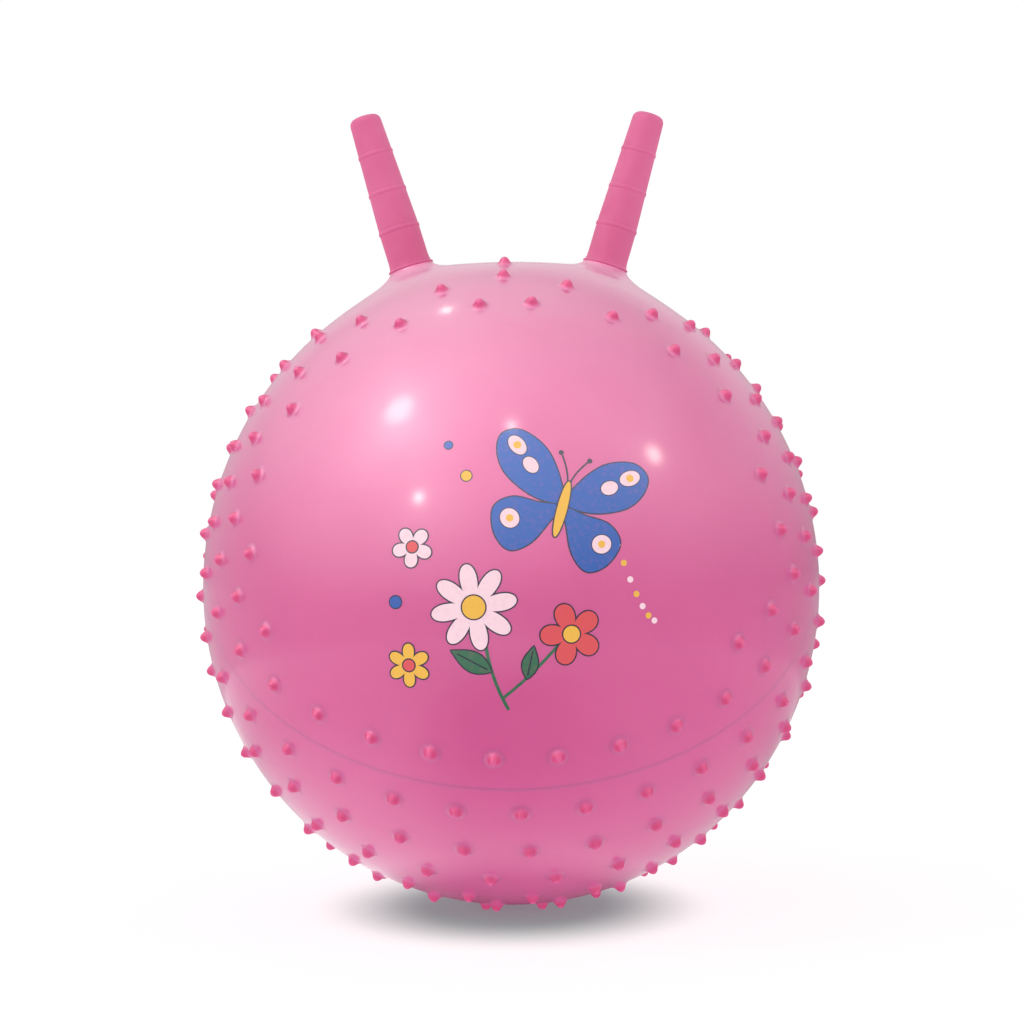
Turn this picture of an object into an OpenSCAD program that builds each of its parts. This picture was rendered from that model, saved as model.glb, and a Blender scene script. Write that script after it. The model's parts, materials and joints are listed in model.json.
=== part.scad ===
// Hopper ball: an inflated ball to sit and bounce on, with two horns to hold.
// The floor is at z = 0, the horns stand side by side along X, and the printed front faces -Y.

/* [Ball] */
// Diameter of the skin at its widest, without the nubs
ball_d = 450; // [400:1:560]
// How far the crest between the horns stands above a round ball
crest_rise = 12.5; // [4:0.5:30]
// How far the underside hangs below a round ball
belly_drop = 6.4; // [2:0.2:20]
// Thickness of the moulded skin
skin_wall = 1; // [0.8:0.1:2]
// Lean of the mould's axis from upright towards the front, in degrees
mould_lean = 41.7; // [36:0.1:46]

/* [Horns] */
// Lean of each horn's axis from upright, in degrees
horn_lean = 16.9; // [15:0.1:22]
// Length of a horn from its base bead to its tip
horn_l = 116; // [100:1:140]
// Diameter of a horn at its root
horn_root_d = 30; // [27:0.5:32]
// Diameter of a horn at its tip
horn_tip_d = 23; // [18:0.5:26]
// Thickness of a horn's wall
horn_wall = 2.2; // [1.5:0.1:4]
// Distance between neighbouring grip rings
ring_pitch = 29; // [22:0.5:30]
// Thickness of a grip ring
ring_d = 2.2; // [1.6:0.1:3]
// How far a grip ring stands out of the horn
ring_proud = 0.7; // [0.4:0.1:1.1]
// Radius of the rounding round the tip
tip_round = 5; // [3:0.5:7]

/* [Necks] */
// How far the skin is drawn up round a horn's root
shoulder_rise = 4.5; // [3:0.1:5]
// Diameter of the drawn-up skin's curve
shoulder_d = 180; // [140:2:240]
// Height of the base bead over the ball's own outline, along the horn's axis
neck_h = 9.7; // [9:0.1:14]
// Diameter of the neck below the base bead
neck_d = 32.4; // [31:0.2:36]
// Radius of the hollow where the neck runs out into the skin
neck_fillet = 7; // [5:0.5:8]
// Height of the bending point of a horn above its base bead
bend_h = 7; // [6.5:0.1:8]
// Diameter of the air passage from the ball into a horn
air_d = 18; // [12:0.5:19]

/* [Nubs] */
// Height of a grip nub
nub_h = 5.5; // [4.5:0.5:9]
// Diameter of a nub's flared foot
nub_base_d = 12; // [10:0.5:16]
// Height of the flare
nub_flare_h = 1.2; // [0.8:0.1:2]
// Diameter of a nub above its flare
nub_waist_d = 8.4; // [6:0.1:9]
// Diameter of a nub's rounded tip
nub_tip_d = 4.4; // [3:0.1:5]
// How much of the tip is worn flat on the nubs that stand on the floor
foot_trim = 0.5; // [0.4:0.1:1]

/* [Valve] */
// Diameter of the collar round the valve
collar_d = 26; // [22:0.5:34]
// Height of the collar over the skin
collar_h = 1.8; // [1.2:0.1:3]
// Outer diameter of the sleeve inside the ball
sleeve_d = 15; // [13:0.5:18]
// Length of the sleeve below the skin
sleeve_l = 24; // [20:1:40]
// Diameter of the plug's stem
plug_d = 9; // [7:0.1:10]
// Length of the plug's stem
plug_l = 19; // [14:1:24]
// Diameter of the plug's head
head_d = 15; // [12:0.5:18]
// Thickness of the plug's head
head_h = 2; // [1.4:0.1:3]

/* [Fits] */
// Gap between a welded piece and the skin that carries it
seat_gap = 0.05; // [0.02:0.01:0.1]
// Gap round the ball at a horn's root
root_gap = 0.3; // [0.25:0.05:0.5]
// Gap between the plug's stem and its sleeve, on the radius
plug_gap = 0.05; // [0.02:0.01:0.1]

/* [Hidden] */
$fn = 96;
// Sides of a small round piece
nub_sides = 48;
// How far a cut runs past what it cuts
overrun = 1;

// Rows of nubs, as degrees of latitude about the mould's axis, from the upper pole down
row_latitudes = [80, 70, 60, 49.5, 39, 30, 21.8, 13.7, 2.1, -7.6, -17, -27, -35.5, -43.5, -53, -62.5, -72, -81];
// Nubs in each full row
row_counts = [7, 11, 18, 24, 28, 32, 33, 33, 33, 32, 31, 29, 26, 26, 22, 17, 11, 5];
// Turn of each row about the mould's axis, in degrees
row_turns = [3, -14, 1.2, 1.9, -0.6, 3, 2.6, -3.2, 1.3, 2.8, -4.1, 3.6, -3.8, 6.92, 8.18, 0, 5, 0];
// Rows from this one down run right round, and those above it leave the front bare
first_full_row = 7;
// The two rows whose front pair of nubs stands on the floor
foot_rows = [13, 14];
// Bare oval on the front: its middle's elevation, half its width and half its height, in degrees
bare_elevation = 13;
bare_half_width = 50;
bare_half_height = 41;
// Nubs stay this far from a horn's axis and from the valve's axis, in degrees
horn_margin = 18.6;
valve_margin = 7;

// The skin's outline is four arcs: a cap and a side above the widest place, and the same below
ball_r = ball_d / 2;
arc_share = 2 - sqrt(2);
upper_shift = crest_rise / arc_share;
lower_shift = belly_drop / arc_share;
upper_cap_r = ball_r + crest_rise - upper_shift;
lower_cap_r = ball_r + belly_drop - lower_shift;
upper_side_r = ball_r + upper_shift;
lower_side_r = ball_r + lower_shift;

// Distance from the ball's centre to the skin, in the direction at angle a from upright
function cap_reach(a, r, c) = c * cos(a) + sqrt(r * r - pow(c * sin(a), 2));
function side_reach(a, r, e) = sqrt(r * r - pow(e * cos(a), 2)) - e * sin(a);
function on_cap(a, r, c) = cap_reach(a, r, c) * (cos(a) - sin(a)) >= c;
function half_reach(a, cap_r, side_r, shift) =
    on_cap(a, cap_r, shift) ? cap_reach(a, cap_r, shift) : side_reach(a, side_r, shift);
function skin_reach(a) = a <= 90
    ? half_reach(a, upper_cap_r, upper_side_r, upper_shift)
    : half_reach(180 - a, lower_cap_r, lower_side_r, lower_shift);

// Angle from upright of the skin's normal there
function half_normal(a, cap_r, side_r, shift) =
    let (d = half_reach(a, cap_r, side_r, shift))
    on_cap(a, cap_r, shift)
        ? atan2(d * sin(a), d * cos(a) - shift)
        : atan2(d * sin(a) + shift, d * cos(a));
function skin_normal(a) = a <= 90
    ? half_normal(a, upper_cap_r, upper_side_r, upper_shift)
    : 180 - half_normal(180 - a, lower_cap_r, lower_side_r, lower_shift);

// Direction of the nub at a latitude and a turn about the mould's axis
function nub_direction(lat, turn) = [
    cos(lat) * sin(turn),
    -cos(mould_lean) * cos(lat) * cos(turn) - sin(mould_lean) * sin(lat),
    cos(mould_lean) * sin(lat) - sin(mould_lean) * cos(lat) * cos(turn)
];
function from_upright(d) = acos(d.z);
function nub_turn(row, i) = row_turns[row] + i * 360 / row_counts[row];

// Which nubs are left out
function in_bare_oval(d) =
    d.y < 0
    && pow(atan2(d.x, -d.y) / bare_half_width, 2)
        + pow((asin(d.z) - bare_elevation) / bare_half_height, 2) < 1;
function near_horn(d) = abs(d.x) * sin(horn_lean) + d.z * cos(horn_lean) > cos(horn_margin);
function near_valve(d) = d.y > cos(valve_margin);
function is_kept(row, d) =
    !near_horn(d) && !near_valve(d) && (row >= first_full_row || !in_bare_oval(d));

// The nubs that stand on the floor are the first pair each side of the front in their rows
function is_foot(row, i) = len(search(row, foot_rows)) > 0 && (i == 0 || i == row_counts[row] - 1);

// Depth of a foot nub's tip below the ball's centre
function foot_depth(row) =
    let (a = from_upright(nub_direction(row_latitudes[row], row_turns[row])))
    -(skin_reach(a) * cos(a) + (seat_gap + nub_h) * cos(skin_normal(a)));
centre_z = min([for (row = foot_rows) foot_depth(row)]) - foot_trim;

// Places along a horn's axis, from the bending point at its root
bead_reach = skin_reach(horn_lean) + neck_h;
bend_reach = bead_reach + bend_h;
tip_z = horn_l - bend_h;
ring_count = 3;
root_r = horn_root_d / 2;
tip_r = horn_tip_d / 2;
socket_r = root_r + root_gap;
neck_r = neck_d / 2;
// The neck's rim lies this far below the bending point, and its bead's middle a ring's radius lower
rim_drop = bend_h - ring_d / 2;
// The root is cut off flat where its air passage leaves a lip
lip_w = 1.5;
root_drop = sqrt(pow(root_r, 2) - pow(air_d / 2 + lip_w, 2));
// The hollow round the neck is sunk this far into the skin, so that it meets it at a clear angle
flank_sink = 3.2;
shoulder_z = -bend_h - neck_h + shoulder_rise;
flank_z = shoulder_z + neck_fillet - flank_sink;
neck_bottom = shoulder_z - flank_sink - skin_wall;

// The valve sits on the back, level with the ball's centre
bore_r = plug_d / 2 + plug_gap;
sleeve_r = sleeve_d / 2;
// Rounding of the plug's head and of the collar's edge
head_round = head_h / 2;
collar_round = collar_h / 2;

function row_node(row) = str("nub_row_", row < 9 ? "0" : "", row + 1);

skin_colour = "#f29bb0";
horn_colour = "#d8527f";
nub_colour = "#df5687";
valve_colour = "#f4a9bb";
plug_colour = "#f7f3f1";

// One half of the skin's outline: a cap of arc and a side of arc that meet on one slanting line
module half_outline(cap_r, side_r, shift) {
    far = 2 * ball_r;
    intersection() {
        translate([0, shift]) circle(cap_r);
        polygon([[0, shift], [far, shift + far], [0, shift + far]]);
    }
    intersection() {
        translate([-shift, 0]) circle(side_r);
        polygon([[0, 0], [far, 0], [far, shift + far], [0, shift]]);
    }
}

// The whole outline, drawn in by an inset
module skin_outline(inset) {
    half_outline(upper_cap_r - inset, upper_side_r - inset, upper_shift);
    mirror([0, 1]) half_outline(lower_cap_r - inset, lower_side_r - inset, lower_shift);
}

module ball_solid(inset) {
    translate([0, 0, centre_z]) rotate_extrude() skin_outline(inset);
}

// Places its children at a horn's bending point, along its axis: side is -1 for left and 1 for right
module at_horn(side) {
    translate([0, 0, centre_z]) rotate([0, side * horn_lean, 0]) translate([0, 0, bend_reach]) children();
}

// Places its children on the valve's axis, with z outwards from the skin
module at_valve() {
    translate([0, ball_r, centre_z]) rotate([-90, 0, 0]) children();
}

// Neck of the skin below a horn, with the base bead round its rim
module neck_outline() {
    difference() {
        translate([0, neck_bottom]) square([neck_r + neck_fillet, -rim_drop - neck_bottom]);
        translate([neck_r + neck_fillet, flank_z]) circle(neck_fillet);
        translate([neck_r, flank_z]) square([neck_fillet + overrun, -flank_z]);
    }
    translate([neck_r, -bend_h]) circle(ring_d / 2);
}

module necks() {
    for (side = [-1, 1]) at_horn(side) rotate_extrude() neck_outline();
}

// The skin drawn up round each horn's root: a low cap of a smaller ball
module shoulders(inset) {
    for (side = [-1, 1]) at_horn(side)
        translate([0, 0, shoulder_z - shoulder_d / 2]) sphere(d = shoulder_d - 2 * inset);
}

module sockets() {
    for (side = [-1, 1]) at_horn(side) {
        sphere(socket_r);
        translate([0, 0, neck_bottom - neck_h]) cylinder(d = air_d, h = neck_h - neck_bottom);
    }
}

module shell() {
    color(skin_colour) difference() {
        union() {
            ball_solid(0);
            shoulders(0);
            necks();
        }
        ball_solid(skin_wall);
        shoulders(skin_wall);
        sockets();
        at_valve() translate([0, 0, -sleeve_l]) cylinder(r = sleeve_r + seat_gap, h = sleeve_l + overrun);
    }
}

// Outside radius of a horn at a height above the bending point
function horn_r(z) = z < ring_pitch - bend_h
    ? root_r
    : root_r + (tip_r - root_r) * (z - ring_pitch + bend_h) / (horn_l - ring_pitch);
function ring_z(i) = i * ring_pitch - bend_h;

// A horn's outline without its root, drawn in by an inset
module grip_outline(inset) {
    top = tip_z - inset;
    round = tip_round - inset;
    polygon([
        [0, 0], [root_r - inset, 0], [root_r - inset, ring_z(1)],
        [horn_r(tip_z - tip_round) - inset, tip_z - tip_round], [0, tip_z - tip_round]
    ]);
    translate([0, tip_z - tip_round]) square([horn_r(tip_z - tip_round) - tip_round, round]);
    intersection() {
        translate([horn_r(tip_z - tip_round) - tip_round, tip_z - tip_round]) circle(round);
        translate([0, tip_z - tip_round]) square([root_r, top]);
    }
}

// The root is part of a ball round the bending point, so it turns in its socket without opening
module root_outline() {
    intersection() {
        circle(root_r);
        translate([0, -root_drop]) square([root_r, root_drop]);
    }
}

module horn() {
    difference() {
        rotate_extrude() {
            grip_outline(0);
            root_outline();
            for (i = [1 : ring_count])
                translate([horn_r(ring_z(i)) + ring_proud - ring_d / 2, ring_z(i)]) circle(ring_d / 2);
        }
        rotate_extrude() grip_outline(horn_wall);
        translate([0, 0, -root_drop - overrun]) cylinder(d = air_d, h = root_drop + overrun + horn_wall);
    }
}

module left_horn() {
    color(horn_colour) at_horn(-1) horn();
}

module right_horn() {
    color(horn_colour) at_horn(1) horn();
}

// Collar over the skin and a plain sleeve down into the ball
module valve_sleeve() {
    color(valve_colour) at_valve() difference() {
        union() {
            translate([0, 0, seat_gap]) rotate_extrude() {
                square([collar_d / 2 - collar_round, collar_h]);
                square([collar_d / 2, collar_h - collar_round]);
                intersection() {
                    translate([collar_d / 2 - collar_round, collar_h - collar_round]) circle(collar_round);
                    square([collar_d / 2, collar_h]);
                }
            }
            translate([0, 0, -sleeve_l]) cylinder(r = sleeve_r, h = sleeve_l + collar_h);
        }
        translate([0, 0, -sleeve_l - overrun]) cylinder(r = bore_r, h = sleeve_l + collar_h + 2 * overrun);
    }
}

// Stem with a rounded end, and a flat head that lies on the collar
module valve_plug() {
    color(plug_colour) at_valve() translate([0, 0, collar_h + 2 * seat_gap]) rotate_extrude() {
        translate([0, -plug_l + plug_d / 2]) square([plug_d / 2, plug_l - plug_d / 2]);
        intersection() {
            translate([0, -plug_l + plug_d / 2]) circle(plug_d / 2);
            translate([0, -plug_l]) square([plug_d / 2, plug_d / 2]);
        }
        square([head_d / 2 - head_round, head_h]);
        square([head_d / 2, head_h - head_round]);
        intersection() {
            translate([head_d / 2 - head_round, head_h - head_round]) circle(head_round);
            square([head_d / 2, head_h]);
        }
    }
}

// One nub: a flared foot, a slim cone and a round tip
module nub() {
    tip_base = nub_h - nub_tip_d / 2;
    rotate_extrude($fn = nub_sides) {
        polygon([
            [0, 0], [nub_base_d / 2, 0], [nub_waist_d / 2, nub_flare_h],
            [nub_tip_d / 2, tip_base], [0, tip_base]
        ]);
        intersection() {
            translate([0, tip_base]) circle(nub_tip_d / 2);
            translate([0, tip_base]) square([nub_tip_d / 2, nub_tip_d / 2]);
        }
    }
}

// Stands a nub on the skin, square to it, in direction d from the ball's centre
module stand_nub(d) {
    a = from_upright(d);
    reach = skin_reach(a);
    translate([0, 0, centre_z])
        rotate([0, 0, atan2(d.y, d.x)])
            translate([reach * sin(a), 0, reach * cos(a)])
                rotate([0, skin_normal(a), 0])
                    translate([0, 0, seat_gap]) nub();
}

module nub_row(row) {
    color(nub_colour) for (i = [0 : row_counts[row] - 1]) {
        d = nub_direction(row_latitudes[row], nub_turn(row, i));
        if (is_kept(row, d) && !is_foot(row, i)) stand_nub(d);
    }
}

// The four nubs under the ball, worn flat where they meet the floor
module foot_nubs() {
    color(nub_colour) for (row = foot_rows) for (i = [0, row_counts[row] - 1]) difference() {
        stand_nub(nub_direction(row_latitudes[row], nub_turn(row, i)));
        translate([-ball_r, -ball_r, -nub_h]) cube([ball_d, ball_d, nub_h]);
    }
}

shell();
left_horn();
right_horn();
valve_sleeve();
valve_plug();
foot_nubs();
for (row = [0 : len(row_latitudes) - 1])
    nub_row(row);
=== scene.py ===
"""Looks of the hopper ball: glossy inflated skin, matte horns, rows of grip nubs, printed front and valve.

Everything is in metres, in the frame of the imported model. The ball's middle, its width and the horns' lean
come from that model. Sizes that are written here are in millimetres, times MM.
"""

import json
import math

import bmesh
import bpy
import numpy as np
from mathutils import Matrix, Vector


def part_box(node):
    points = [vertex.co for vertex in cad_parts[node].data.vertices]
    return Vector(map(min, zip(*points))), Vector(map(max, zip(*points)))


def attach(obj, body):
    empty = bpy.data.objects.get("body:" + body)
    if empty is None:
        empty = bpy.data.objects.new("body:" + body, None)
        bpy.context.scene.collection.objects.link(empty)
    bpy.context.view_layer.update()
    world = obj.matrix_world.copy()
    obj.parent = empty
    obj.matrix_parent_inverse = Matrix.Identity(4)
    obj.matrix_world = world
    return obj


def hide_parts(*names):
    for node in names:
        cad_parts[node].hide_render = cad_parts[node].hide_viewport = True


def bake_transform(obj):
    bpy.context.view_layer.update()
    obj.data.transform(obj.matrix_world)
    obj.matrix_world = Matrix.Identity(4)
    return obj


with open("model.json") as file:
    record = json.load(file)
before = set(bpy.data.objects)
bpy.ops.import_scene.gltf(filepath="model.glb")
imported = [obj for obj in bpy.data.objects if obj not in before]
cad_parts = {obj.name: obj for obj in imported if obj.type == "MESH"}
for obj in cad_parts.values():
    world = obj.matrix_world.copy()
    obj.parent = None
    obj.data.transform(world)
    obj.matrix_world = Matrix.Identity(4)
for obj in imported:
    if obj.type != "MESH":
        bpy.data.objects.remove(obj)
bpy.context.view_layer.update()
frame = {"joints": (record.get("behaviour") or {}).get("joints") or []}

MM = 0.001

# Sizes that the frame gives
shell_low, shell_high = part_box("shell")
sleeve_low, sleeve_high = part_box("valve_sleeve")
plug_low, plug_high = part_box("valve_plug")
pivots = {joint["child"]: Vector(joint["pos_m"]) for joint in frame["joints"] if joint["type"] == "hinge"}
ball_r = (shell_high.x - shell_low.x) / 2
middle = Vector((0, 0, (sleeve_low.z + sleeve_high.z) / 2))
to_pivot = pivots["right_grip"] - middle
horn_lean = math.atan2(to_pivot.x, to_pivot.z)
bend_reach = to_pivot.length
belly_drop = middle.z - shell_low.z - ball_r

# Sizes of the skin's outline, its drawn-up roots and its parting line
crest_rise = 12.5 * MM
root_rise = 5.5 * MM
root_spread = 36 * MM
neck_r = 16.2 * MM
flare_w = 16 * MM
flare_w_change = 3 * MM
mould_lean = math.radians(41.7)
parting_latitude = 7.5
parting_w = 2 * MM
parting_h = 0.04 * MM

# Sizes of a horn
bend_h = 7 * MM
bead_r = 0.8 * MM
horn_l = 116 * MM
horn_root_r = 15 * MM
horn_tip_r = 11.5 * MM
waist_r = 15 * MM
root_flare = 0.9 * MM
root_flare_l = 6 * MM
grip_rings = 3
ring_pitch = 29 * MM
ring_half_w = 1.5 * MM
ring_proud = 0.5 * MM
tip_round = 5 * MM
tip_crown = 0.2 * MM
bead_reach = bend_reach - bend_h
tip_reach = bead_reach + horn_l

# Rows of nubs about the mould's axis, from the upper pole down: latitude in degrees, nubs in a full row, and
# turn of the row in degrees
nub_rows = [
    (80, 7, 3), (70, 11, -14), (60, 18, 1.2), (49.5, 24, 1.9), (39, 28, -0.6), (30, 32, 3),
    (21.8, 33, 2.6), (13.7, 33, -3.2), (2.1, 33, 1.3), (-7.6, 32, 2.8), (-17, 31, -4.1), (-27, 29, 3.6),
    (-35.5, 26, -3.8), (-43.5, 26, 6.92), (-53, 22, 8.18), (-62.5, 17, 0), (-72, 11, 5), (-81, 5, 0),
]
first_full_row = 7
foot_rows = (13, 14)
bare_elevation = 13
bare_half_width = 50
bare_half_height = 41
horn_margin = math.radians(18.6)
valve_margin = math.radians(7)
nub_h = 5.5 * MM


# Small helpers
def colour(code):
    """Linear colour of an sRGB hex code."""
    shares = [int(code[i:i + 2], 16) / 255 for i in (1, 3, 5)]
    linear = [s / 12.92 if s <= 0.04045 else ((s + 0.055) / 1.055) ** 2.4 for s in shares]
    return (*linear, 1)


def add_node(tree, kind, settings=None, inputs=None):
    """A new node with its settings and its inputs, which are plain values or other nodes' outputs."""
    node = tree.nodes.new(kind)
    for name, value in (settings or {}).items():
        setattr(node, name, value)
    for key, value in (inputs or {}).items():
        if isinstance(value, bpy.types.NodeSocket):
            tree.links.new(value, node.inputs[key])
        else:
            node.inputs[key].default_value = value
    return node


def new_object(name, verts, faces, material):
    """A smooth mesh object with its normals turned outwards."""
    mesh = bpy.data.meshes.new(name)
    mesh.from_pydata([tuple(v) for v in verts], [], faces)
    shape = bmesh.new()
    shape.from_mesh(mesh)
    bmesh.ops.recalc_face_normals(shape, faces=shape.faces)
    shape.to_mesh(mesh)
    shape.free()
    mesh.shade_smooth()
    mesh.materials.append(material)
    made = bpy.data.objects.new(name, mesh)
    bpy.context.scene.collection.objects.link(made)
    return made


def ring_faces(ring_count, columns):
    """Quads between neighbouring rings of points, each ring closed on itself."""
    faces = []
    for row in range(ring_count - 1):
        for column in range(columns):
            following = (column + 1) % columns
            low, high = row * columns, (row + 1) * columns
            faces.append((low + column, low + following, high + following, high + column))
    return faces


def closed_rings(rings):
    """Points and faces of a stack of rings, with a fan of faces over each end."""
    rings = [np.asarray(ring, float) for ring in rings]
    columns = len(rings[0])
    verts = [point for ring in rings for point in ring]
    faces = ring_faces(len(rings), columns)
    for ring, start in ((rings[0], 0), (rings[-1], len(verts) - columns)):
        hub = len(verts)
        verts.append(ring.mean(axis=0))
        faces += [(start + c, start + (c + 1) % columns, hub) for c in range(columns)]
    return verts, faces


def looped_rings(rings):
    """Points and faces of a loop of rings, the last joined to the first."""
    columns = len(rings[0])
    last = (len(rings) - 1) * columns
    faces = ring_faces(len(rings), columns)
    faces += [(last + c, last + (c + 1) % columns, (c + 1) % columns, c) for c in range(columns)]
    return np.concatenate(rings), faces


def revolve(name, profile, origin, axis, across, columns, material):
    """A closed turned piece: profile holds a radius and a height along the axis for each ring."""
    axis, across = np.array(axis), np.array(across)
    beside = np.cross(axis, across)
    turns = np.arange(columns) * 2 * math.pi / columns
    spokes = np.outer(np.cos(turns), across) + np.outer(np.sin(turns), beside)
    rings = [np.array(origin) + axis * height + spokes * radius for radius, height in profile]
    return new_object(name, *closed_rings(rings), material)


# The skin's outline is an oval of arcs that meet at 45 degrees: a cap above and below, and flatter sides
arc_share = 2 - math.sqrt(2)
upper_shift = crest_rise / arc_share
lower_shift = belly_drop / arc_share


def skin_surface(directions):
    """Places of the ball's own outline along directions from its middle, and the outward normals there."""
    up = directions[:, 2]
    rise = np.abs(up)
    level = np.hypot(directions[:, 0], directions[:, 1])
    shift = np.where(up >= 0, upper_shift, lower_shift)
    bulge = np.where(up >= 0, crest_rise, belly_drop)
    cap_reach = shift * rise + np.sqrt((ball_r + bulge - shift) ** 2 - (shift * level) ** 2)
    side_reach = np.sqrt((ball_r + shift) ** 2 - (shift * rise) ** 2) - shift * level
    on_cap = cap_reach * (rise - level) >= shift
    places = directions * np.where(on_cap, cap_reach, side_reach)[:, None]
    centres = np.zeros_like(places)
    centres[:, 2] = np.where(on_cap, np.sign(up) * shift, 0)
    flat = directions[:, :2] / np.maximum(level, 1e-9)[:, None]
    centres[:, :2] = np.where(on_cap[:, None], 0, -flat * shift[:, None])
    normals = places - centres
    return places, normals / np.linalg.norm(normals, axis=1)[:, None]


def horn_axis(side):
    return np.array([side * math.sin(horn_lean), 0, math.cos(horn_lean)])


def raised_skin(directions):
    """Places of the inflated skin, which is drawn up round the horns' roots."""
    places, _ = skin_surface(directions)
    reach = np.linalg.norm(places, axis=1)
    for side in (-1, 1):
        apart = np.arccos(np.clip(directions @ horn_axis(side), -1, 1)) * ball_r
        reach = reach + root_rise * np.exp(-(apart / root_spread) ** 2)
    return directions * reach[:, None]


# The skin is a net of circles round the two horns, one half worked out and the other its mirror image
net_columns = 352
net_rows = 104
turning_rows = 12
flare_rows = 12
# The net ends on a circle that clears the flare of the neck all round
net_end = horn_lean + math.radians(16)
focus = math.tan(horn_lean / 2)


def net_turns():
    """Turns of the net's columns, spaced half by the way round a horn, half by that along the middle ring."""
    turns = np.linspace(0, 2 * math.pi, 20001)[1:-1]
    along = math.pi - 2 * np.arctan2(focus * np.cos(turns / 2), np.sin(turns / 2))
    share = (turns + along) / (4 * math.pi)
    return np.interp(np.arange(net_columns) / net_columns, share, turns)


def net_directions(stretch, turns):
    """Directions on the circle round a horn that the stretch names, from 0 at the middle ring upwards."""
    inner = math.cosh(stretch) - np.cos(turns)
    outer = focus ** 2 * (math.cosh(stretch) + np.cos(turns))
    across = np.full_like(turns, 2 * focus * math.sinh(stretch))
    return np.stack([across, 2 * focus * np.sin(turns), inner - outer], axis=1) / (inner + outer)[:, None]


horn_outward = np.array([math.cos(horn_lean), 0, -math.sin(horn_lean)])


def round_horn(apart, turns):
    """Directions at an angle from the right horn's axis."""
    spokes = np.outer(np.cos(turns), horn_outward) + np.outer(np.sin(turns), (0, 1, 0))
    return np.cos(apart)[:, None] * horn_axis(1) + np.sin(apart)[:, None] * spokes


def angle_at(radius, turns):
    """Angle from the right horn's axis at which the skin is that far from the axis."""
    apart = radius / ball_r
    for _ in range(6):
        apart = np.arcsin(radius / np.linalg.norm(raised_skin(round_horn(apart, turns)), axis=1))
    return apart


def half_skin():
    """Rings of the skin's right half, from the middle ring to the horn's base bead."""
    turns = net_turns()
    rings = []
    for slope in np.linspace(math.pi, net_end, net_rows):
        directions = net_directions(2 * math.atanh(focus / math.tan(slope / 2)), turns)
        rings.append(raised_skin(directions))
    first_apart = np.arccos(directions @ horn_axis(1))
    first_turns = np.mod(np.arctan2(directions[:, 1], directions @ horn_outward), 2 * math.pi)
    flare = flare_w + flare_w_change * np.cos(turns)
    last_apart = angle_at(neck_r + flare, turns)
    for share in np.linspace(0, 1, turning_rows + 1)[1:]:
        apart = first_apart * (1 - share) + last_apart * share
        rings.append(raised_skin(round_horn(apart, first_turns * (1 - share) + turns * share)))
    wall_foot = raised_skin(round_horn(angle_at(np.full_like(turns, neck_r), turns), turns)) @ horn_axis(1)
    for share in np.linspace(0, 1, flare_rows + 1)[1:]:
        lean = math.pi / 2 * (1 - share)
        places = raised_skin(round_horn(angle_at(neck_r + flare * (1 - math.cos(lean)), turns), turns))
        lift = (bead_reach - wall_foot) * (1 - math.sin(lean))
        rings.append(places + np.outer(lift, horn_axis(1)))
    return rings


def inflated_skin(material):
    right = half_skin()
    left = [ring * (-1, 1, 1) for ring in right[:0:-1]]
    rings = [ring + np.array(middle) for ring in left + right]
    return new_object("skin", *closed_rings(rings), material)


# Nubs
def mould_directions(latitude, turns):
    """Directions from the ball's middle at a latitude about the mould's axis and at turns round it."""
    lat = math.radians(latitude)
    level, raised = math.cos(lat), math.sin(lat)
    across = level * np.sin(turns)
    forward = -math.cos(mould_lean) * level * np.cos(turns) - math.sin(mould_lean) * raised
    upward = math.cos(mould_lean) * raised - math.sin(mould_lean) * level * np.cos(turns)
    return np.stack([across, forward, upward], axis=1)


def nub_directions(row):
    """Directions of a row's nubs, without those by the horns, valve and print, and of those on the floor."""
    latitude, count, turn = nub_rows[row]
    toward = mould_directions(latitude, np.radians(turn) + np.arange(count) * 2 * math.pi / count)
    sideways = np.degrees(np.arctan2(toward[:, 0], -toward[:, 1])) / bare_half_width
    upwards = (np.degrees(np.arcsin(toward[:, 2])) - bare_elevation) / bare_half_height
    bare = (toward[:, 1] < 0) & (sideways ** 2 + upwards ** 2 < 1) & (row < first_full_row)
    by_horn = (toward[:, 2] > 0) & (np.abs(toward) @ horn_axis(1) > math.cos(horn_margin))
    by_valve = toward[:, 1] > math.cos(valve_margin)
    kept = ~(bare | by_horn | by_valve)
    foot = np.zeros(count, bool)
    if row in foot_rows:
        foot[[0, -1]] = True
    return toward[kept & ~foot], toward[foot]


# Radius and height of a nub's rings in millimetres, from its skirt below the skin to its tip
nub_outline = [
    (8.6, -0.3), (7.4, -0.1), (6.3, 0.12), (5.5, 0.45), (4.8, 1), (4, 2), (3.3, 3.2), (2.5, 4.3), (1.5, 5.1),
    (0.4, 5.5),
]
nub_columns = 10


def nub_pattern():
    """One nub on the origin, with the height of each point as a share of the nub's height."""
    profile = [(radius * MM, height * MM) for radius, height in nub_outline]
    nub = revolve("nub_pattern", profile, (0, 0, 0), (0, 0, 1), (1, 0, 0), nub_columns, None)
    shares = [v.co.z / nub_h for v in nub.data.vertices]
    nub.data.attributes.new("height_share", "FLOAT", "POINT").data.foreach_set("value", shares)
    return nub


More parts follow.
